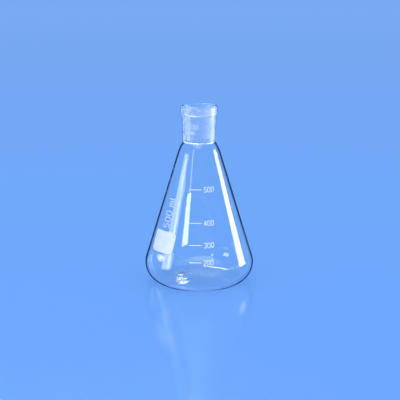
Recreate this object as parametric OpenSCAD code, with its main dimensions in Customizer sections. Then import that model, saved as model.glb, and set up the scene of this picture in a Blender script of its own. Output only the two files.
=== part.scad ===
// Narrow conical flask of borosilicate glass with a standard taper ground socket.
// Millimetres. +Z up, origin at the centre of the foot, front (the graduations) towards -Y.

/* [Body] */
// Largest outer diameter of the body
body_d = 105; // [100:1:110]
// Radius of the rounded heel between the foot and the cone
heel_r = 20; // [16:1:24]
// Height of the seam between the body and the socket
seam_z = 138; // [130:1:150]
// How far the straight cone would stand outside the neck at the seam
shoulder_step = 1.7; // [1.2:0.1:2.5]
// Radius of the convex shoulder below the seam
shoulder_r = 45; // [35:1:60]
// Thickness of the blown wall
wall = 2.2; // [1.6:0.1:2.6]

/* [Foot] */
// Inner diameter of the flat ring that the flask stands on
foot_inner_d = 54; // [44:1:60]
// Rise of the base in the middle of the foot ring
punt_h = 1.8; // [1:0.1:3]

/* [Ground socket] */
// Bore at the wide end of the ground taper
taper_top_d = 29.2; // [29.1:0.05:29.3]
// Length of the ground taper, which narrows by 1 in 10
taper_len = 32; // [30:0.5:34]
// Plain throat between the seam and the ground taper
throat_len = 1.4; // [1:0.1:4]
// Outer diameter of the socket at the seam
neck_d = 31; // [30.6:0.1:31.4]
// Outer diameter of the socket just under the bead
neck_top_d = 32.5; // [32.2:0.1:33]
// Outer diameter of the bead round the mouth
bead_d = 34.6; // [34.2:0.1:36]
// Height of the bead
bead_h = 8.6; // [6:0.2:10]
// Rounding of the bead's outer edges
bead_round = 1.5; // [0.8:0.1:1.5]
// Rounding of the mouth's inner edge
lip_round = 1.1; // [0.6:0.1:1.1]

/* [Enamel print] */
// Thickness of the fired enamel
enamel_t = 0.15; // [0.1:0.01:0.3]
// Thickness of the level lines and of the strokes of the numerals
stroke = 0.5; // [0.4:0.05:0.8]
// Length of a level line
line_len = 11.4; // [8:0.2:16]
// Distance of the right end of a level line from the middle of the front
line_end_x = 2.2; // [0:0.2:4]
// Distance of the left edge of the numerals from the middle of the front
numerals_x = 4.2; // [3.6:0.2:6]
// Height of the numerals
numerals_h = 4.9; // [4:0.1:6]
// How far the level lines stand above the computed levels, since a real foot is thicker than the wall
level_rise = 2; // [0:0.5:4]
// Azimuth of the label field, from the front towards the right
label_azimuth = -50; // [-70:1:-40]
// Width of the label field
label_w = 29; // [20:1:32]
// Height of the label field's lower edge
label_z = 37.5; // [36:0.5:40]
// Height of the label field
label_h = 19.5; // [15:0.5:22]
// Corner radius of the label field
label_round = 3.5; // [1:0.5:4]
// Azimuth of the print on the neck
neck_print_azimuth = -28; // [-60:1:0]

/* [Hidden] */
$fn = 96;

CAPACITIES = [200:100:500];

glass_colour = [0.72, 0.86, 1.0, 0.4];
socket_colour = [0.86, 0.93, 1.0, 0.6];
enamel_colour = [0.97, 0.98, 0.98];

// Heel circle in the half profile: its centre, and the angle at which the cone leaves it
heel_x = body_d / 2 - heel_r;
neck_r = neck_d / 2;
aim = [neck_r + shoulder_step - heel_x, seam_z - heel_r];
cone_angle = atan2(aim.y, aim.x) - acos(heel_r / norm(aim));
cone_normal = [cos(cone_angle), sin(cone_angle)];
heel_end = [heel_x, heel_r] + heel_r * cone_normal;

// Shoulder circle: tangent to the cone, and through the outer edge of the seam
seam_depth = shoulder_step * cos(cone_angle);
shoulder_turn = acos(1 - seam_depth / shoulder_r);
seam_angle = cone_angle + shoulder_turn;
shoulder_c = [neck_r, seam_z] - shoulder_r * [cos(seam_angle), sin(seam_angle)];
shoulder_start = shoulder_c + shoulder_r * cone_normal;

// Punt: a very large sphere, cut by the foot plane at the inner edge of the foot ring
punt_r = (pow(foot_inner_d / 2, 2) + pow(punt_h, 2)) / (2 * punt_h);
punt_c = [0, punt_h - punt_r];

// Ground socket
taper = 0.1;
taper_z = seam_z + throat_len;
mouth_z = taper_z + taper_len;
total_h = mouth_z + lip_round;
bead_z = total_h - bead_h;
taper_top_r = taper_top_d / 2;
throat_r = taper_top_r - taper * taper_len / 2;
neck_slope = (neck_top_d - neck_d) / 2 / (bead_z - seam_z);

// Outer radius of the glass at a height, on the straight cone and on the socket
function cone_r(z) = heel_end.x - (z - heel_end.y) * tan(cone_angle);
function socket_r(z) = neck_r + (z - seam_z) * neck_slope;

// Volume inside the heel up to where the inner cone starts, less the dome of the base, in mm3
inner_heel_r = heel_r - wall;
inner_heel_end = [heel_x, heel_r] + inner_heel_r * cone_normal;
function heel_integral(t) =
    (pow(heel_x, 2) + pow(inner_heel_r, 2)) * t - pow(t, 3) / 3
    + heel_x * (t * sqrt(pow(inner_heel_r, 2) - t * t) + pow(inner_heel_r, 2) * asin(t / inner_heel_r) * PI / 180);
dome_volume = PI * punt_h * (3 * pow(foot_inner_d / 2, 2) + pow(punt_h, 2)) / 6;
heel_volume = PI * (heel_integral(inner_heel_end.y - heel_r) - heel_integral(-inner_heel_r)) - dome_volume;

// Height of the printed line for a volume in millilitres
function level_r(ml) =
    pow(pow(inner_heel_end.x, 3) - 3 * tan(cone_angle) * (ml * 1000 - heel_volume) / PI, 1 / 3);
function level_z(ml) = inner_heel_end.y + (inner_heel_end.x - level_r(ml)) / tan(cone_angle) + level_rise;

// Characters are drawn on a grid: a capital is 4 units high, and its rounds have radius 1
capital = 4;
letter_gap = 1;
arc_steps = 8;
function unit(h) = (h - stroke) / capital;
function glyph_w(c) =
    c == "l" || c == ":" ? 0
    : c == " " ? 0.5
    : c == "/" ? 1.5
    : c == "m" ? 2.4
    : 2;
function text_w(s, n) = n == 0 ? 0 : text_w(s, n - 1) + glyph_w(s[n - 1]) + letter_gap;

// Points of an arc, of an upright oval, and the offset of a stroke's edge at a point of its path
function arc(centre, r, from, to) =
    [for (i = [0:arc_steps]) let (a = from + (to - from) * i / arc_steps) centre + r * [cos(a), sin(a)]];
function oval_points(x, low, high, r) =
    concat(arc([x, high], r, 0, 180), arc([x, low], r, low < high ? 180 : 200, low < high ? 360 : 340));
function heading(path, i) = (path[i + 1] - path[i]) / norm(path[i + 1] - path[i]);
function turned(v) = [-v.y, v.x];
function mitre(path, i) =
    let (
        after = heading(path, min(i, len(path) - 2)),
        before = heading(path, max(i - 1, 0))
    )
    turned(before + after) / (1 + before * after);

// Half profile of the solid body, drawn with every outer face moved inwards by inset
module body_profile(inset) {
    difference() {
        translate([heel_x, heel_r])
            circle(heel_r - inset);
        translate([-body_d, 0])
            square([body_d, body_d]);
    }
    polygon([
        [0, inset],
        [heel_x, inset],
        [heel_x, heel_r],
        heel_end - inset * cone_normal,
        shoulder_start - inset * cone_normal,
        [0, shoulder_start.y - inset * cone_normal.y]
    ]);
    intersection() {
        translate(shoulder_c)
            circle(shoulder_r - inset, $fn = 360);
        translate([0, shoulder_start.y - inset * cone_normal.y])
            square([body_d, seam_z - shoulder_start.y + inset * cone_normal.y]);
    }
}

// Blown vessel: even wall, flat foot ring and a base that rises in the middle
module flask_body() {
    color(glass_colour)
        rotate_extrude($fn = 180)
            difference() {
                body_profile(0);
                translate(punt_c)
                    circle(punt_r, $fn = 720);
                difference() {
                    body_profile(wall);
                    translate(punt_c)
                        circle(punt_r + wall, $fn = 720);
                }
            }
}

// Socket blank: conical tube, thick bead with rounded edges, 1 in 10 ground bore
module ground_socket() {
    bead_r = bead_d / 2;
    mouth_r = taper_top_r + lip_round;
    color(socket_colour)
        rotate_extrude($fn = 180)
            difference() {
                union() {
                    polygon([[0, seam_z], [neck_r, seam_z], [neck_top_d / 2, bead_z], [0, bead_z]]);
                    translate([0, bead_z])
                        square([bead_r - bead_round, bead_h]);
                    translate([0, bead_z + bead_round])
                        square([bead_r, bead_h - 2 * bead_round]);
                    for (z = [bead_z + bead_round, total_h - bead_round])
                        translate([bead_r - bead_round, z])
                            circle(bead_round);
                }
                translate([0, seam_z - 1])
                    square([throat_r, throat_len + 1]);
                polygon([[0, taper_z], [throat_r, taper_z], [taper_top_r, mouth_z], [0, mouth_z]]);
                difference() {
                    translate([0, mouth_z])
                        square([mouth_r, lip_round + 1]);
                    translate([mouth_r, mouth_z])
                        circle(lip_round);
                }
            }
}

// Thin skin of enamel on the cone between two heights
module cone_skin(low, high) {
    skin = enamel_t / cos(cone_angle);
    rotate_extrude($fn = 180)
        polygon([
            [cone_r(low), low],
            [cone_r(low) + skin, low],
            [cone_r(high) + skin, high],
            [cone_r(high), high]
        ]);
}

// Thin skin of enamel on the socket between two heights
module socket_skin(low, high) {
    rotate_extrude($fn = 180)
        polygon([
            [socket_r(low), low],
            [socket_r(low) + enamel_t, low],
            [socket_r(high) + enamel_t, high],
            [socket_r(high), high]
        ]);
}

// Stands a flat drawing up and pushes it outwards through the skin at an azimuth
module print_at(azimuth) {
    rotate([90, 0, azimuth])
        linear_extrude(height = body_d)
            children();
}

// Straight stroke between two grid points, with square ends
module bar(u, from, to) {
    ribbon(u, [from, to]);
}

// Stroke that follows a path of grid points, with mitred corners
module ribbon(u, path) {
    last = len(path) - 1;
    polygon(concat(
        [for (i = [0:last]) u * path[i] + stroke / 2 * mitre(path, i)],
        [for (i = [last:-1:0]) u * path[i] - stroke / 2 * mitre(path, i)]
    ));
}

// Closed stroke: an upright oval of radius r between two heights on the grid
module oval(u, x, low, high, r) {
    difference() {
        polygon(u * oval_points(x, low, high, r + stroke / u / 2));
        polygon(u * oval_points(x, low, high, r - stroke / u / 2));
    }
}

// One character on the grid, with its lower left corner at the origin
module glyph(c, u) {
    if (c == "0")
        oval(u, 1, 1, 3, 1);
    if (c == "1") {
        bar(u, [1.3, 0], [1.3, 4.2]);
        bar(u, [1.3, 4], [0.4, 3.1]);
    }
    if (c == "2")
        ribbon(u, concat(arc([1, 3], 1, 165, -35), [[0, 0], [2, 0]]));
    if (c == "3") {
        ribbon(u, arc([1, 3], 1, 150, -100));
        ribbon(u, arc([1, 1], 1, 95, -150));
    }
    if (c == "4") {
        bar(u, [1.5, -0.2], [1.5, 4.2]);
        bar(u, [1.5, 4], [0.1, 1.1]);
        bar(u, [-0.1, 1.2], [2.1, 1.2]);
    }
    if (c == "5")
        ribbon(u, concat([[1.8, 4], [0.25, 4]], arc([0.85, 1.15], 1.15, 130, -130)));
    if (c == "9") {
        oval(u, 1, 3, 3, 1);
        bar(u, [1.9, 2.7], [1.1, -0.2]);
    }
    if (c == "m") {
        bar(u, [0, -0.2], [0, 2.9]);
        ribbon(u, concat(arc([0.6, 2.1], 0.6, 160, 0), [[1.2, -0.2]]));
        ribbon(u, concat(arc([1.8, 2.1], 0.6, 160, 0), [[2.4, -0.2]]));
    }
    if (c == "l")
        bar(u, [0, -0.2], [0, 4.2]);
    if (c == "/")
        bar(u, [0, -0.3], [1.5, 4.3]);
    if (c == ":") {
        bar(u, [0, 0.5], [0, 1.3]);
        bar(u, [0, 2.3], [0, 3.1]);
    }
    if (c == "+") {
        bar(u, [0, 2.4], [2, 2.4]);
        bar(u, [1, 1.4], [1, 3.4]);
        bar(u, [0, 0.4], [2, 0.4]);
    }
    if (c == "%") {
        bar(u, [0.1, 0], [1.9, 4]);
        oval(u, 0.3, 3.2, 3.2, 0.6);
        oval(u, 1.7, 0.8, 0.8, 0.6);
    }
}

// A row of characters of capital height h, starting at the origin
module lettering(s, h) {
    translate([stroke / 2, stroke / 2])
        for (i = [0:len(s) - 1])
            translate([unit(h) * text_w(s, i), 0])
                glyph(s[i], unit(h));
}

// The same row, centred on x = 0
module centred_lettering(s, h) {
    width = unit(h) * (text_w(s, len(s)) - letter_gap) + stroke;
    translate([-width / 2, 0])
        lettering(s, h);
}

// Level line for one volume
module graduation_line(ml) {
    z = level_z(ml);
    color(enamel_colour)
        intersection() {
            cone_skin(z - stroke, z + stroke);
            print_at(0)
                translate([line_end_x - line_len, z - stroke / 2])
                    square([line_len, stroke]);
        }
}

// Number beside a level line
module numerals(ml) {
    z = level_z(ml) - numerals_h / 2;
    color(enamel_colour)
        intersection() {
            cone_skin(z - 1, z + numerals_h + 1);
            print_at(0)
                translate([numerals_x, z])
                    lettering(str(ml), numerals_h);
        }
}

// White field with rounded corners, for writing on
module label_field() {
    inner_w = label_w - 2 * label_round;
    inner_h = label_h - 2 * label_round;
    color(enamel_colour)
        intersection() {
            cone_skin(label_z - 1, label_z + label_h + 1);
            print_at(label_azimuth)
                translate([-label_w / 2, label_z]) {
                    translate([label_round, 0])
                        square([inner_w, label_h]);
                    translate([0, label_round])
                        square([label_w, inner_h]);
                    for (x = [label_round, label_round + inner_w], y = [label_round, label_round + inner_h])
                        translate([x, y])
                            circle(label_round);
                }
        }
}

// Capacity, reading upwards above the label field
module capacity_mark() {
    mark_h = 8;
    mark_z = label_z + label_h + 3;
    mark_len = 32;
    color(enamel_colour)
        intersection() {
            cone_skin(mark_z - 1, mark_z + mark_len);
            print_at(label_azimuth)
                translate([mark_h / 2, mark_z])
                    rotate(90)
                        lettering("500 ml", mark_h);
        }
}

// Tolerance of the level lines, below the label field
module tolerance_mark() {
    mark_h = 4;
    mark_z = label_z - 1.8 - mark_h;
    color(enamel_colour)
        intersection() {
            cone_skin(mark_z - 1, mark_z + mark_h + 1);
            print_at(label_azimuth)
                translate([0, mark_z])
                    centred_lettering("+5%", mark_h);
        }
}

// Size of the ground joint and its taper, in two rows on the neck
module joint_size_mark() {
    size_h = 4.6;
    ratio_h = 3.2;
    size_z = seam_z + 14;
    ratio_z = size_z - ratio_h - 2.2;
    color(enamel_colour)
        intersection() {
            socket_skin(ratio_z - 1, size_z + size_h + 1);
            print_at(neck_print_azimuth) {
                translate([0, size_z])
                    centred_lettering("29/32", size_h);
                translate([0, ratio_z])
                    centred_lettering("1:10", ratio_h);
            }
        }
}

flask_body();
ground_socket();
label_field();
capacity_mark();
tolerance_mark();
joint_size_mark();
for (ml = CAPACITIES) {
    graduation_line(ml);
    numerals(ml);
}
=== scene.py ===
"""Looks of a 500 ml conical flask with a ground joint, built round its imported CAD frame. Metres, +Z up."""
import math

import bpy
import numpy as np
from mathutils import Matrix, Vector


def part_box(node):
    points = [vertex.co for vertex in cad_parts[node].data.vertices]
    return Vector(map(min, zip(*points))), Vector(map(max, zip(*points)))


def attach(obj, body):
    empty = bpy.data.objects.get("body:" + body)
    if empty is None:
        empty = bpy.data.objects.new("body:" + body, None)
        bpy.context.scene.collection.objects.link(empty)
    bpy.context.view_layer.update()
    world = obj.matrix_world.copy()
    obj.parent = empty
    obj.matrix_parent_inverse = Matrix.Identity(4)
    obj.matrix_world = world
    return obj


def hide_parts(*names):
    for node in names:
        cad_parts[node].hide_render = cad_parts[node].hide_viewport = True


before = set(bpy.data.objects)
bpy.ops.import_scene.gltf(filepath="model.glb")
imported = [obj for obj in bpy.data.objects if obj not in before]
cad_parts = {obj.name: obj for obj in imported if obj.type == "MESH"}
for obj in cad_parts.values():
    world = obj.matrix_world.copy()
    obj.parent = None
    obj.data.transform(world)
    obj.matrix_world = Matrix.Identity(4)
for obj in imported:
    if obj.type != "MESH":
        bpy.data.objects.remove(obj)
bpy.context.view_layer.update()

MM = 0.001

# ---------------------------------------------------------------- sizes

# Read from the frame
BODY_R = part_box("flask_body")[1].x
SEAM_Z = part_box("flask_body")[1].z
BEAD_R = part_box("ground_socket")[1].x
TOP_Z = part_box("ground_socket")[1].z

# The glass, as in the CAD
HEEL_R = 20 * MM
SHOULDER_STEP = 1.7 * MM
SHOULDER_R = 45 * MM
WALL = 2.2 * MM
FOOT_INNER_R = 27 * MM
PUNT_H = 1.8 * MM
NECK_R = 15.5 * MM
NECK_TOP_R = 16.25 * MM
TAPER_TOP_R = 14.6 * MM
TAPER_LEN = 32 * MM
TAPER_HALF_SLOPE = 0.05
BEAD_H = 8.6 * MM
BEAD_ROUND = 1.5 * MM
LIP_ROUND = 1.1 * MM

# Small blends that the glass gets in the flame, which the CAD leaves out
WELD_BLEND = 1.6 * MM
SEAM_GAP = 0.02 * MM
BEAD_FILLET = 0.9 * MM
WAVE = 0.10 * MM
WAVE_FADE_UP = 12 * MM
WAVE_FADE_OUT = 8 * MM
RIPPLE = 0.45 * MM
RIPPLE_PITCH = 13 * MM
RIPPLE_X = -18 * MM
RIPPLE_HALF = 6 * MM

# Lathe resolution
SEGMENTS = 256
STEP = 0.9 * MM

# The print
STROKE = 0.5 * MM
END_STEPS = 5
TIP_SHARE = 0.08
PRINT_T = 0.05 * MM
PRINT_SUNK = 0.03 * MM
LABEL_AZIMUTH = math.radians(-50)
NECK_AZIMUTH = math.radians(-28)
LABEL_W = 29 * MM
LABEL_ROUND = 3.5 * MM
LABEL_WANDER = 0.05 * MM
CAPACITY_H = 8 * MM
TOLERANCE_H = 4 * MM
JOINT_SIZE_H = 4.6 * MM
TAPER_RATIO_H = 3.2 * MM
JOINT_SIZE_DROP = 0.25 * MM


# ---------------------------------------------------------------- glass profiles

def unit(angle):
    return np.array([math.cos(angle), math.sin(angle)])


def arc(centre, radius, start, end):
    """Points along an arc in the half profile, about STEP apart."""
    count = max(3, int(abs(end - start) * radius / STEP) + 1)
    return [np.array(centre) + radius * unit(a) for a in np.linspace(start, end, count)]


def line(a, b):
    """Points along a straight stretch, without its first point."""
    count = max(2, int(np.hypot(*(np.array(b) - a)) / STEP) + 1)
    return [np.array(a) + t * (np.array(b) - a) for t in np.linspace(0, 1, count)[1:]]


def blend(a, slope_a, b, slope_b):
    """Points of a smooth curve from a to b that leaves and arrives with the given directions."""
    a, b = np.array(a), np.array(b)
    reach = np.hypot(*(b - a))
    da, db = reach * np.array(slope_a), reach * np.array(slope_b)
    points = []
    for t in np.linspace(0, 1, 9)[1:]:
        points.append(
            (2 * t ** 3 - 3 * t ** 2 + 1) * a + (t ** 3 - 2 * t ** 2 + t) * da
            + (3 * t ** 2 - 2 * t ** 3) * b + (t ** 3 - t ** 2) * db
        )
    return points


HEEL_C = np.array([BODY_R - HEEL_R, HEEL_R])
AIM = np.array([NECK_R + SHOULDER_STEP, SEAM_Z]) - HEEL_C
CONE_ANGLE = math.atan2(AIM[1], AIM[0]) - math.acos(HEEL_R / np.hypot(*AIM))
CONE_NORMAL = unit(CONE_ANGLE)
HEEL_END = HEEL_C + HEEL_R * CONE_NORMAL
SEAM_ANGLE = CONE_ANGLE + math.acos(1 - SHOULDER_STEP * CONE_NORMAL[0] / SHOULDER_R)
SHOULDER_C = np.array([NECK_R, SEAM_Z]) - SHOULDER_R * unit(SEAM_ANGLE)
SHOULDER_START = SHOULDER_C + SHOULDER_R * CONE_NORMAL
BEAD_Z = TOP_Z - BEAD_H
MOUTH_Z = TOP_Z - LIP_ROUND
TAPER_Z = MOUTH_Z - TAPER_LEN
THROAT_R = TAPER_TOP_R - TAPER_HALF_SLOPE * TAPER_LEN
NECK_LEAN = (NECK_TOP_R - NECK_R) / (BEAD_Z - SEAM_Z)


def cone_r(z):
    """Outer radius of the straight cone."""
    return HEEL_END[0] - (z - HEEL_END[1]) * math.tan(CONE_ANGLE)


def neck_r(z):
    """Outer radius of the socket below its bead."""
    return NECK_R + (z - SEAM_Z) * NECK_LEAN


def punt_z(r):
    """Rise of the base, which runs smoothly into the foot ring."""
    t = min(r / FOOT_INNER_R, 1)
    return PUNT_H * (1 + math.cos(math.pi * t)) / 2


def shoulder_arc(inset):
    """Shoulder from the cone up to where the weld's blend starts, moved inwards by inset."""
    radius = SHOULDER_R - inset
    end = math.asin((SEAM_Z - WELD_BLEND - SHOULDER_C[1]) / radius)
    return arc(SHOULDER_C, radius, CONE_ANGLE, end)


def weld(start_arc, radius):
    """Blend from the shoulder into the upright neck, ending at the seam."""
    before, start = start_arc[-2], start_arc[-1]
    direction = (start - before) / np.hypot(*(start - before))
    return blend(start, direction, (radius, SEAM_Z), (NECK_LEAN, 1))


def body_profile():
    """(outer, inner): the outside from the middle of the base to the seam, and the inside back down."""
    foot = [np.array([r, punt_z(r)]) for r in np.linspace(0, FOOT_INNER_R, 24)]
    ring = line((FOOT_INNER_R, 0), (HEEL_C[0], 0))
    heel = arc(HEEL_C, HEEL_R, -math.pi / 2, CONE_ANGLE)[1:]
    cone = line(HEEL_END, SHOULDER_START)
    top = shoulder_arc(0)
    outer = foot + ring + heel + cone + top[1:] + weld(top, NECK_R)

    inner_top = shoulder_arc(WALL)
    inner_heel_r = HEEL_R - WALL
    inner_heel_end = HEEL_C + inner_heel_r * CONE_NORMAL
    up = arc(HEEL_C, inner_heel_r, -math.pi / 2, CONE_ANGLE)
    up += line(inner_heel_end, inner_top[0]) + inner_top[1:] + weld(inner_top, THROAT_R)
    floor = [np.array([r, WALL + punt_z(r)]) for r in np.linspace(0, HEEL_C[0], 70)[:-1]]
    inner = (floor + up)[::-1]
    return outer, inner


def socket_profile():
    """(outer, inner): the outside from the seam to the mouth, and the inside back down."""
    base_z = SEAM_Z + SEAM_GAP
    under_bead = BEAD_Z - BEAD_FILLET
    outer = [np.array([NECK_R, base_z])]
    outer += line(outer[0], (neck_r(under_bead), under_bead))
    bead_side = BEAD_R - BEAD_ROUND
    outer += blend(outer[-1], (NECK_LEAN, 1), (bead_side - 0.3 * MM, BEAD_Z), (1, 0.05))
    outer += arc((bead_side, BEAD_Z + BEAD_ROUND), BEAD_ROUND, -math.pi / 2, 0)[1:]
    outer += line(outer[-1], (BEAD_R, TOP_Z - BEAD_ROUND))
    outer += arc((bead_side, TOP_Z - BEAD_ROUND), BEAD_ROUND, 0, math.pi / 2)[1:]
    inner = arc((TAPER_TOP_R + LIP_ROUND, MOUTH_Z), LIP_ROUND, math.pi / 2, math.pi)
    inner += line(inner[-1], (THROAT_R, TAPER_Z))
    inner += line(inner[-1], (THROAT_R, base_z))
    return outer, inner


# ---------------------------------------------------------------- mesh helpers

def finish_mesh(name, verts, faces, flat_faces=()):
    """A smooth-shaded object of these vertices and faces; faces in flat_faces stay flat."""
    mesh = bpy.data.meshes.new(name)
    mesh.from_pydata([tuple(v) for v in verts], [], faces)
    smooth = np.ones(len(faces), bool)
    smooth[list(flat_faces)] = False
    mesh.polygons.foreach_set("use_smooth", smooth)
    mesh.update()
    mesh.validate()
    obj = bpy.data.objects.new(name, mesh)
    bpy.context.scene.collection.objects.link(obj)
    return obj


def turn(name, outer, inner, shift):
    """Turns a closed half profile about +Z. Where the profile is on the axis it gets a single vertex.

    shift(r, z, angles, inside) gives how far the wall moves (outwards, upwards) at each of the angles.
    The flat face at the seam isn't smooth-shaded."""
    angles = np.linspace(0, 2 * math.pi, SEGMENTS, endpoint=False)
    profile = [(p, False) for p in outer] + [(p, True) for p in inner]
    verts, rings = [], []
    for (r, z), inside in profile:
        if r < 1e-7:
            rings.append([len(verts)])
            verts.append((0, 0, z))
            continue
        outwards, upwards = shift(r, z, angles, inside)
        radius = r + outwards
        rings.append(list(range(len(verts), len(verts) + SEGMENTS)))
        verts += zip(radius * np.sin(angles), -radius * np.cos(angles), z + upwards + 0 * angles)
    on_axis = len(rings[0]) == 1
    pairs = [(i, i + 1) for i in range(len(rings) - 1)]
    if not on_axis:
        pairs.append((len(rings) - 1, 0))
    seam_face = len(outer) - 1 if on_axis else len(rings) - 1
    faces, flat = [], []
    for low, high in pairs:
        a, b = rings[low], rings[high]
        for i in range(SEGMENTS):
            j = (i + 1) % SEGMENTS
            if low == seam_face:
                flat.append(len(faces))
            if len(a) == 1:
                faces.append((a[0], b[j], b[i]))
            elif len(b) == 1:
                faces.append((a[i], a[j], b[0]))
            else:
                faces.append((a[i], a[j], b[j], b[i]))
    return finish_mesh(name, verts, faces, flat)


def wave_field(seed, count):
    """Waves round and along the flask, as (turns, per metre, phase, share)."""
    rng = np.random.RandomState(seed)
    return [
        (rng.randint(1, 7), rng.uniform(-60, 60), rng.uniform(0, 2 * math.pi), rng.uniform(0.4, 1))
        for _ in range(count)
    ]


BODY_WAVES = wave_field(11, 9)


def blown_wall(r, z, angles, inside):
    """(outwards, upwards) unevenness of the inside: ripples in the base, and waves in the wall that die
    out at the seam."""
    if not inside or z > SEAM_Z - 2 * WELD_BLEND:
        return 0, 0
    if r < HEEL_C[0]:
        across, along = r * np.sin(angles) - RIPPLE_X, r * np.cos(angles)
        near = np.exp(-(across / RIPPLE_HALF) ** 2) * max(0, 1 - (r / HEEL_C[0]) ** 6)
        return 0, RIPPLE * np.sin(2 * math.pi * along / RIPPLE_PITCH) * near
    fade = min(1, (SEAM_Z - 2 * WELD_BLEND - z) / WAVE_FADE_UP) * min(1, (r - HEEL_C[0]) / WAVE_FADE_OUT)
    total = sum(
        share * np.sin(turns * angles + along * z + phase)
        for turns, along, phase, share in BODY_WAVES
    )
    return fade * WAVE * total / len(BODY_WAVES) * 2, 0


def even_wall(r, z, angles, inside):
    """The pressed socket has no unevenness."""
    return 0, 0


# ---------------------------------------------------------------- print on the glass

def on_surface(radius_at, azimuth):
    """Maps a point of a flat drawing, and a height above the glass, on to the glass round an azimuth."""
    def place(x, z, height):
        depth = math.sqrt((radius_at(z) + height) ** 2 - x * x)
        return (
            x * math.cos(azimuth) + depth * math.sin(azimuth),
            x * math.sin(azimuth) - depth * math.cos(azimuth),
            z,
        )
    return place


def round_path(centre, radius, start, end):
    """Points of an arc on the character grid, in degrees."""
    return [np.array(centre) + radius * unit(math.radians(a)) for a in np.linspace(start, end, 25)]


def glyph_paths(c):
    """Strokes of one character on a grid where a capital is 4 units high and its rounds have radius 1."""
    if c == "0":
        return [round_path((1, 3), 1, 0, 180) + round_path((1, 1), 1, 180, 360) + [np.array([2, 3])]]
    if c == "1":
        return [[(1.3, 0), (1.3, 4)], [(1.3, 4), (0.4, 3.1)]]
    if c == "2":
        return [round_path((1, 3), 1, 165, -35) + [(0, 0), (2, 0)]]
    if c == "3":
        return [round_path((1, 3), 1, 150, -90), round_path((1, 1), 1, 90, -150)]
    if c == "4":
        return [[(1.5, 0), (1.5, 4)], [(1.5, 4), (0.1, 1.2)], [(0.1, 1.2), (2.1, 1.2)]]
    if c == "5":
        return [[(1.8, 4), (0.25, 4)] + round_path((0.85, 1.15), 1.15, 130, -130)]
    if c == "9":
        return [round_path((1, 3), 1, 0, 360), [(1.9, 2.7), (1.1, 0)]]
    if c == "m":
        return [
            [(0, 0), (0, 2.8)],
            round_path((0.6, 2.1), 0.6, 160, 0) + [(1.2, 0)],
            round_path((1.8, 2.1), 0.6, 160, 0) + [(2.4, 0)],
        ]
    if c == "l":
        return [[(0, 0), (0, 4)]]
    if c == "/":
        return [[(0, -0.3), (1.5, 4.3)]]
    if c == ":":
        return [[(0, 0.6), (0, 1.1)], [(0, 2.5), (0, 3.0)]]
    if c == "+":
        return [[(0, 2.4), (2, 2.4)], [(1, 1.4), (1, 3.4)], [(0, 0.4), (2, 0.4)]]
    if c == "%":
        return [
            [(0.1, 0), (1.9, 4)],
            round_path((0.3, 3.2), 0.6, 0, 360),
            round_path((1.7, 0.8), 0.6, 0, 360),
        ]
    return []


GLYPH_WIDTHS = {"l": 0, ":": 0, " ": 0.5, "/": 1.5, "m": 2.4}
LETTER_GAP = 1


def text_paths(text, height, centred=False):
    """Strokes of a row of characters, in metres, from the origin or centred on it."""
    grid = (height - STROKE) / 4
    paths, x = [], 0
    for c in text:
        paths += [[(grid * (p[0] + x), grid * p[1]) for p in path] for path in glyph_paths(c)]
        x += GLYPH_WIDTHS.get(c, 2) + LETTER_GAP
    left = -grid * (x - LETTER_GAP) / 2 if centred else STROKE / 2
    return [[np.array([p[0] + left, p[1] + STROKE / 2]) for p in path] for path in paths]


def resample(path, spacing):
    """The same path with extra points, at most spacing apart."""
    points = [np.array(path[0], float)]
    for a, b in zip(path, path[1:]):
        a, b = np.array(a, float), np.array(b, float)
        count = max(1, math.ceil(np.hypot(*(b - a)) / spacing))
        if np.hypot(*(b - a)) > 1e-9:
            points += [a + (b - a) * k / count for k in range(1, count + 1)]
    return points


def add_stroke(verts, faces, path, half, place):
    """A flat ribbon of print with round ends along a path, as a closed solid on the glass."""
    path = resample(path, 0.3 * MM)
    tangents = []
    for i in range(len(path)):
        ahead = path[min(i + 1, len(path) - 1)] - path[max(i - 1, 0)]
        tangents.append(ahead / max(np.hypot(*ahead), 1e-12))
    quarter = [unit(a) for a in np.linspace(math.pi / 2, 0, END_STEPS)]
    ends = [(half * out, half * max(wide, TIP_SHARE)) for out, wide in quarter]
    sections = [(path[0] - tangents[0] * out, tangents[0], wide) for out, wide in reversed(ends)]
    sections += [(p, t, half) for p, t in zip(path[1:-1], tangents[1:-1])]
    sections += [(path[-1] + tangents[-1] * out, tangents[-1], wide) for out, wide in ends]
    first = len(verts)
    for centre, tangent, width in sections:
        side = width * np.array([-tangent[1], tangent[0]])
        for x, z in (centre + side, centre - side):
            verts.append(place(x, z, PRINT_T))
            verts.append(place(x, z, -PRINT_SUNK))
    for i in range(len(sections) - 1):
        a, b = first + 4 * i, first + 4 * (i + 1)
        faces += [(a, b, b + 2, a + 2), (a + 1, a + 3, b + 3, b + 1)]
        faces += [(a, a + 1, b + 1, b), (a + 2, b + 2, b + 3, a + 3)]
    last = first + 4 * (len(sections) - 1)
    faces += [(first, first + 2, first + 3, first + 1), (last, last + 1, last + 3, last + 2)]


def print_piece(name, paths, place):
    """All strokes of one print, as one flat-shaded object."""
    verts, faces = [], []
    for path in paths:
        add_stroke(verts, faces, path, STROKE / 2, place)
    return finish_mesh(name, verts, faces, range(len(faces)))


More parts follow.
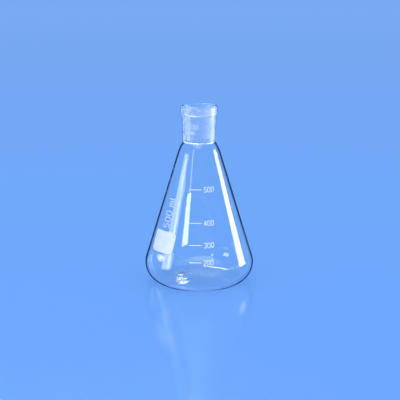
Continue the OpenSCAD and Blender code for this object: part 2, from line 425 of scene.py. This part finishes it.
def label_piece(name, low, high, place):
    """White field: a rounded rectangle with a slightly uneven, screen-printed edge."""
    rng = np.random.RandomState(5)
    rows, columns = 48, 60
    verts, faces = [], []
    wander = rng.uniform(-1, 1, (2, rows + 1)) * LABEL_WANDER
    for height in (PRINT_T, -PRINT_SUNK):
        for i in range(rows + 1):
            t = (1 - math.cos(math.pi * i / rows)) / 2
            z = low + (high - low) * t
            edge = min(z - low, high - z)
            cut = LABEL_ROUND - math.sqrt(max(0, LABEL_ROUND ** 2 - max(0, LABEL_ROUND - edge) ** 2))
            half = LABEL_W / 2 - cut
            for j in range(columns + 1):
                s = 2 * j / columns - 1
                x = s * half + (wander[0, i] if s < 0 else wander[1, i]) * abs(s) ** 8
                verts.append(place(x, z, height))
    width = columns + 1
    under = (rows + 1) * width
    for i in range(rows):
        for j in range(columns):
            a = i * width + j
            faces.append((a, a + 1, a + width + 1, a + width))
            faces.append((under + a, under + a + width, under + a + width + 1, under + a + 1))
    rim = list(range(width))
    rim += [i * width + columns for i in range(1, rows + 1)]
    rim += [rows * width + j for j in range(columns - 1, -1, -1)]
    rim += [i * width for i in range(rows - 1, 0, -1)]
    for a, b in zip(rim, rim[1:] + rim[:1]):
        faces.append((a, under + a, under + b, b))
    return finish_mesh(name, verts, faces)


# ---------------------------------------------------------------- materials

class Tree:
    """A material's node tree, with short calls to add and join nodes."""

    def __init__(self, name):
        self.material = bpy.data.materials.new(name)
        self.material.use_nodes = True
        self.nodes = self.material.node_tree.nodes
        self.links = self.material.node_tree.links
        self.nodes.clear()
        self.output = self.add("ShaderNodeOutputMaterial")

    def add(self, kind, inputs=None, **settings):
        node = self.nodes.new(kind)
        for key, value in settings.items():
            setattr(node, key, value)
        for key, value in (inputs or {}).items():
            if isinstance(value, bpy.types.NodeSocket):
                self.links.new(value, node.inputs[key])
            else:
                node.inputs[key].default_value = value
        return node

    def noise(self, vector, scale, detail=3.0, roughness=0.5):
        inputs = {"Vector": vector, "Scale": scale, "Detail": detail, "Roughness": roughness}
        return self.add("ShaderNodeTexNoise", inputs).outputs["Fac"]

    def spread(self, value, low, high, to_low, to_high, smooth=True):
        inputs = {"Value": value, "From Min": low, "From Max": high, "To Min": to_low, "To Max": to_high}
        kind = "SMOOTHSTEP" if smooth else "LINEAR"
        return self.add("ShaderNodeMapRange", inputs, interpolation_type=kind).outputs["Result"]

    def math(self, operation, a, b=0.0):
        node = self.add("ShaderNodeMath", operation=operation)
        for socket, value in zip(node.inputs, (a, b)):
            if isinstance(value, bpy.types.NodeSocket):
                self.links.new(value, socket)
            else:
                socket.default_value = value
        return node.outputs[0]

    def mix_colour(self, factor, a, b):
        node = self.add("ShaderNodeMix", data_type="RGBA")
        for key, kind, value in (("Factor", "VALUE", factor), ("A", "RGBA", a), ("B", "RGBA", b)):
            socket = [s for s in node.inputs if s.name == key and s.type == kind][0]
            if isinstance(value, bpy.types.NodeSocket):
                self.links.new(value, socket)
            else:
                socket.default_value = value
        return [s for s in node.outputs if s.type == "RGBA"][0]

    def bump(self, height, strength, distance):
        inputs = {"Height": height, "Strength": strength, "Distance": distance}
        return self.add("ShaderNodeBump", inputs).outputs["Normal"]

    def finish(self, surface):
        self.links.new(surface, self.output.inputs["Surface"])
        return self.material


CLEAR_TINT = (0.97, 0.99, 1.0, 1)
# Painted shade: dark blue painted into the glass colour along the wall's outline, where the IOR also drops
# so nothing is mirrored over it.
PAINTED_EDGE_SHADE = (0.08, 0.26, 0.70, 1)
SHADOW_TINT = (0.94, 0.955, 0.975, 1)
GLASS_IOR = 1.473
EDGE_IOR = 1.0
EDGE_SOFT = 0.05
LEVEL_FROM = 0.975
LEVEL_TO = 0.99


def edge_share(tree, place, radius, outer_width, inner_width):
    """How far a point gets the painted shade of the wall's outline, a dark blue painted into the glass
    colour: 1 where the wall is seen nearly along its surface.

    The widths are how much of the outline this is, on the outer and on the inner surface. Level glass,
    such as the base, is left out."""
    normal = tree.add("ShaderNodeNewGeometry").outputs["True Normal"]
    normal_z = tree.add("ShaderNodeSeparateXYZ", {"Vector": normal}).outputs["Z"]
    wall = tree.spread(tree.math("ABSOLUTE", normal_z), LEVEL_FROM, LEVEL_TO, 1.0, 0.0)
    dot = tree.add("ShaderNodeVectorMath", {0: place, 1: normal}, operation="DOT_PRODUCT")
    width = tree.spread(dot.outputs["Value"], -1 * MM, 1 * MM, inner_width, outer_width)
    share = tree.math("SQRT", tree.math("DIVIDE", tree.math("MULTIPLY", width, 2.0), radius))
    facing = tree.add("ShaderNodeLayerWeight", {"Blend": 0.5}).outputs["Facing"]
    past = tree.math("SUBTRACT", facing, tree.math("SUBTRACT", 1.0, share))
    return tree.math("MULTIPLY", wall, tree.spread(past, -EDGE_SOFT, EDGE_SOFT, 0.0, 1.0))


def ground_share(tree, radius, z):
    """1 in the ground zone inside the socket, 0 elsewhere."""
    inside = tree.spread(radius, TAPER_TOP_R + 0.15 * MM, TAPER_TOP_R + 0.35 * MM, 1.0, 0.0)
    low = tree.spread(z, TAPER_Z - 0.2 * MM, TAPER_Z + 0.4 * MM, 0.0, 1.0)
    high = tree.spread(z, MOUTH_Z - 0.6 * MM, MOUTH_Z, 1.0, 0.0)
    return tree.math("MULTIPLY", inside, tree.math("MULTIPLY", low, high))


def glass(name, outer_width, inner_width, ground=False):
    """Borosilicate glass: clear and fire-polished, and matt where it is ground, with painted shade: a dark
    blue painted into its colour along the outline, where the wall is seen nearly edge-on and its IOR drops
    to 1.
    """
    tree = Tree(name)
    place = tree.add("ShaderNodeTexCoord").outputs["Object"]
    x, y, z = tree.add("ShaderNodeSeparateXYZ", {"Vector": place}).outputs
    squares = tree.math("ADD", tree.math("MULTIPLY", x, x), tree.math("MULTIPLY", y, y))
    radius = tree.math("SQRT", squares)
    edge = edge_share(tree, place, radius, outer_width, inner_width)
    roughness = tree.spread(tree.noise(place, 55, 5, 0.6), 0.52, 0.74, 0.0, 0.035)
    if ground:
        grain = tree.spread(tree.noise(place, 900, 2, 0.5), 0.3, 0.7, 0.26, 0.42)
        matt = tree.math("MULTIPLY", ground_share(tree, radius, z), grain)
        roughness = tree.math("MAXIMUM", roughness, matt)
    # Base Color carries painted shade: dark blue along the outline, where the glass is seen nearly edge-on.
    shader = tree.add("ShaderNodeBsdfPrincipled", {
        "Base Color": tree.mix_colour(edge, CLEAR_TINT, PAINTED_EDGE_SHADE),
        "Roughness": roughness,
        "IOR": GLASS_IOR,
        "Transmission Weight": 1.0,
        "Normal": tree.bump(tree.noise(place, 26, 2, 0.4), 0.15, 0.4 * MM),
    })
    tree.links.new(tree.spread(edge, 0.0, 1.0, GLASS_IOR, EDGE_IOR, smooth=False), shader.inputs["IOR"])
    lamp = tree.add("ShaderNodeLightPath").outputs["Is Shadow Ray"]
    straight = tree.add("ShaderNodeBsdfTransparent", {"Color": SHADOW_TINT})
    both = tree.add("ShaderNodeMixShader", {"Fac": lamp})
    tree.links.new(shader.outputs["BSDF"], both.inputs[1])
    tree.links.new(straight.outputs["BSDF"], both.inputs[2])
    return tree.finish(both.outputs["Shader"])


def enamel(name, colour, worn):
    """Fired ceramic print: opaque, satin, with a slightly uneven coat."""
    tree = Tree(name)
    place = tree.add("ShaderNodeTexCoord").outputs["Object"]
    cloud = tree.noise(place, 160, 4, 0.6)
    grain = tree.noise(place, 2600, 3, 0.6)
    shade = tree.spread(cloud, 0.35, 0.65, 0.0, 1.0)
    tone = tree.mix_colour(shade, colour, worn)
    shader = tree.add("ShaderNodeBsdfPrincipled", {
        "Base Color": tone,
        "Roughness": tree.spread(cloud, 0.3, 0.7, 0.32, 0.5),
        "Normal": tree.bump(grain, 0.25, 0.03 * MM),
    })
    return tree.finish(shader.outputs["BSDF"])


def floor_paint(colour):
    """Plain paint with a soft sheen."""
    tree = Tree("floor_paint")
    place = tree.add("ShaderNodeTexCoord").outputs["Object"]
    mottle = tree.noise(place, 3, 2, 0.5)
    tone = tree.mix_colour(mottle, colour, tuple(0.985 * c for c in colour[:3]) + (1,))
    inputs = {"Base Color": tone, "Roughness": 0.14, "Specular IOR Level": 0.35}
    shader = tree.add("ShaderNodeBsdfPrincipled", inputs)
    return tree.finish(shader.outputs["BSDF"])


# ---------------------------------------------------------------- the object

glassware = bpy.data.collections.new("glassware")
prints = bpy.data.collections.new("prints")


def add_piece(obj, material, slot, *nodes):
    """Puts a piece on the flask in place of these CAD nodes, and in the right lamps' light."""
    obj.data.materials.append(material)
    (prints if slot.endswith("enamel") else glassware).objects.link(obj)
    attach(obj, "root")
    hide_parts(*nodes)


clear_glass = glass("clear_glass", 1.2 * MM, 0.25 * MM)
ground_glass = glass("ground_glass", 0.35 * MM, 0.2 * MM, ground=True)
white_enamel = enamel("white_enamel", (0.76, 0.84, 0.88, 1), (0.68, 0.77, 0.83, 1))
print_enamel = enamel("print_enamel", (0.92, 0.95, 0.97, 1), (0.82, 0.88, 0.92, 1))

add_piece(turn("blown_body", *body_profile(), blown_wall), clear_glass, "clear_glass", "flask_body")
add_piece(turn("joint_socket", *socket_profile(), even_wall), ground_glass, "ground_glass", "ground_socket")

front = on_surface(cone_r, 0)
left = on_surface(cone_r, LABEL_AZIMUTH)
neck = on_surface(neck_r, NECK_AZIMUTH)


def moved(paths, x, z):
    """The same strokes, shifted on the flat drawing."""
    return [[p + np.array([x, z]) for p in path] for path in paths]


for ml in (200, 300, 400, 500):
    low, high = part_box(f"graduation_line_{ml}")
    level = (low.z + high.z) / 2
    bar = [[np.array([low.x + STROKE / 2, level]), np.array([high.x - STROKE / 2, level])]]
    piece = print_piece(f"level_line_{ml}", bar, front)
    add_piece(piece, print_enamel, "print_enamel", f"graduation_line_{ml}")
    low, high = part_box(f"numerals_{ml}")
    digits = moved(text_paths(str(ml), high.z - low.z), low.x, low.z)
    piece = print_piece(f"level_numerals_{ml}", digits, front)
    add_piece(piece, print_enamel, "print_enamel", f"numerals_{ml}")

low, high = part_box("label_field")
add_piece(label_piece("writing_field", low.z, high.z, left), white_enamel, "white_enamel", "label_field")

low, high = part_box("capacity_mark")
capacity = text_paths("500 ml", CAPACITY_H)
capacity = [[np.array([CAPACITY_H / 2 - p[1], low.z + p[0]]) for p in path] for path in capacity]
add_piece(print_piece("capacity_print", capacity, left), print_enamel, "print_enamel", "capacity_mark")

low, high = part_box("tolerance_mark")
tolerance = moved(text_paths("+5%", TOLERANCE_H, centred=True), 0, low.z)
add_piece(print_piece("tolerance_print", tolerance, left), print_enamel, "print_enamel", "tolerance_mark")

low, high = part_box("joint_size_mark")
joint_size_z = high.z - JOINT_SIZE_H - JOINT_SIZE_DROP
joint_size = moved(text_paths("29/32", JOINT_SIZE_H, centred=True), 0, joint_size_z)
joint_size += moved(text_paths("1:10", TAPER_RATIO_H, centred=True), 0, low.z)
add_piece(print_piece("joint_size_print", joint_size, neck), print_enamel, "print_enamel", "joint_size_mark")


# ---------------------------------------------------------------- stage, light and camera

FLOOR_COLOUR = (0.155, 0.40, 0.99, 1)
WORLD_COLOUR = (0.22, 0.42, 0.84, 1)
WORLD_SEEN = 0.9
WORLD_LIGHT = 0.1
FLOOR_HALF = 14
FLOOR_Z = -0.02 * MM
LAMP_AIM = Vector((0, 0, 0.09))
CAMERA_PLACE = Vector((0, -0.900, 0.290))
CAMERA_TARGET = Vector((0.0008, 0, 0.0808))
CAMERA_LENS = 86.2


def make_floor():
    """A wide painted floor just under the foot."""
    corners = [(-1, -1), (1, -1), (1, 1), (-1, 1)]
    verts = [(FLOOR_HALF * x, FLOOR_HALF * y, FLOOR_Z) for x, y in corners]
    floor = finish_mesh("floor", verts, [(0, 1, 2, 3)])
    floor.data.materials.append(floor_paint(FLOOR_COLOUR))


def make_world():
    """A blue studio that is seen in the glass but hardly lights what is matt."""
    world = bpy.data.worlds.new("studio")
    world.use_nodes = True
    background = world.node_tree.nodes["Background"]
    background.inputs["Color"].default_value = WORLD_COLOUR
    nodes, links = world.node_tree.nodes, world.node_tree.links
    seen = nodes.new("ShaderNodeMapRange")
    links.new(nodes.new("ShaderNodeLightPath").outputs["Is Diffuse Ray"], seen.inputs["Value"])
    seen.inputs["To Min"].default_value = WORLD_SEEN
    seen.inputs["To Max"].default_value = WORLD_LIGHT
    links.new(seen.outputs["Result"], background.inputs["Strength"])
    bpy.context.scene.world = world


def polar(azimuth, elevation, distance):
    """Point at an azimuth (0 is the front, 90 the right) and elevation seen from the flask's middle."""
    a, e = math.radians(azimuth), math.radians(elevation)
    return Vector((
        distance * math.cos(e) * math.sin(a),
        -distance * math.cos(e) * math.cos(a),
        LAMP_AIM.z + distance * math.sin(e),
    ))


def softbox(name, azimuth, elevation, distance, width, height, radiance, roll=0, round_panel=False):
    """A flat diffused panel that faces the flask and lights only the glass. radiance is its brightness
    as seen in the glass."""
    light = bpy.data.lights.new(name, "AREA")
    light.shape = "ELLIPSE" if round_panel else "RECTANGLE"
    light.size = width
    light.size_y = height
    light.energy = radiance * width * height * math.pi
    obj = bpy.data.objects.new(name, light)
    obj.location = polar(azimuth, elevation, distance)
    facing = (obj.location - LAMP_AIM).to_track_quat("Z", "Y").to_matrix()
    obj.rotation_euler = (facing @ Matrix.Rotation(math.radians(roll), 3, "Z")).to_euler()
    obj.visible_camera = False
    obj.light_linking.receiver_collection = glassware
    bpy.context.scene.collection.objects.link(obj)
    return obj


def skylight(name, azimuth, elevation, strength):
    """Broad even fill for what is matt. It lights the floor the same all over, and the glass doesn't
    mirror it."""
    light = bpy.data.lights.new(name, "SUN")
    light.energy = strength
    light.angle = math.radians(60)
    light.cycles.use_multiple_importance_sampling = False
    obj = bpy.data.objects.new(name, light)
    obj.location = polar(azimuth, elevation, 2)
    obj.rotation_euler = obj.location.to_track_quat("Z", "Y").to_euler()
    bpy.context.scene.collection.objects.link(obj)
    return obj


def make_camera():
    """Long lens in front of the flask, which is seen from 13 degrees above."""
    data = bpy.data.cameras.new("camera")
    data.sensor_width = 36
    data.lens = CAMERA_LENS
    data.clip_start = 0.01
    data.clip_end = 100
    camera = bpy.data.objects.new("camera", data)
    camera.location = CAMERA_PLACE
    camera.rotation_euler = (CAMERA_PLACE - CAMERA_TARGET).to_track_quat("Z", "Y").to_euler()
    bpy.context.scene.collection.objects.link(camera)
    bpy.context.scene.camera = camera


make_floor()
make_world()
softbox("right_softbox", 104, 8, 1.35, 0.43, 0.62, 10)
softbox("left_softbox", -75, 9, 1.35, 0.48, 0.64, 7).visible_transmission = False
softbox("left_panel", -68, 14, 1.35, 0.30, 0.50, 6).visible_glossy = False
softbox("front_left_lamp", -36, 17, 1.35, 0.32, 0.125, 10, roll=7)
softbox("front_left_strip", -36, 30, 1.35, 0.12, 0.50, 3.5, roll=7)
softbox("front_softbox", -16, 62, 1.8, 1.5, 1.2, 1.4, round_panel=True)
softbox("back_strip", 186, 36, 1.5, 0.20, 0.3, 8)
softbox("overhead", 0, 88, 2.4, 3.2, 3.2, 0.5, round_panel=True)
skylight("front_fill", -30, 55, 1.45)
skylight("right_fill", 70, 60, 1.1)
skylight("back_fill", 190, 55, 1.0)
skylight("print_fill", -25, 35, 1.7).light_linking.receiver_collection = prints
skylight("print_back_fill", 128, 5, 1.6).light_linking.receiver_collection = prints
make_camera()

scene = bpy.context.scene
scene.view_settings.view_transform = "Standard"
scene.cycles.use_denoising = True
scene.cycles.max_bounces = 32
scene.cycles.transmission_bounces = 28
scene.cycles.glossy_bounces = 16
scene.cycles.transparent_max_bounces = 16
scene.cycles.caustics_refractive = False
scene.cycles.caustics_reflective = False
scene.cycles.sample_clamp_indirect = 8
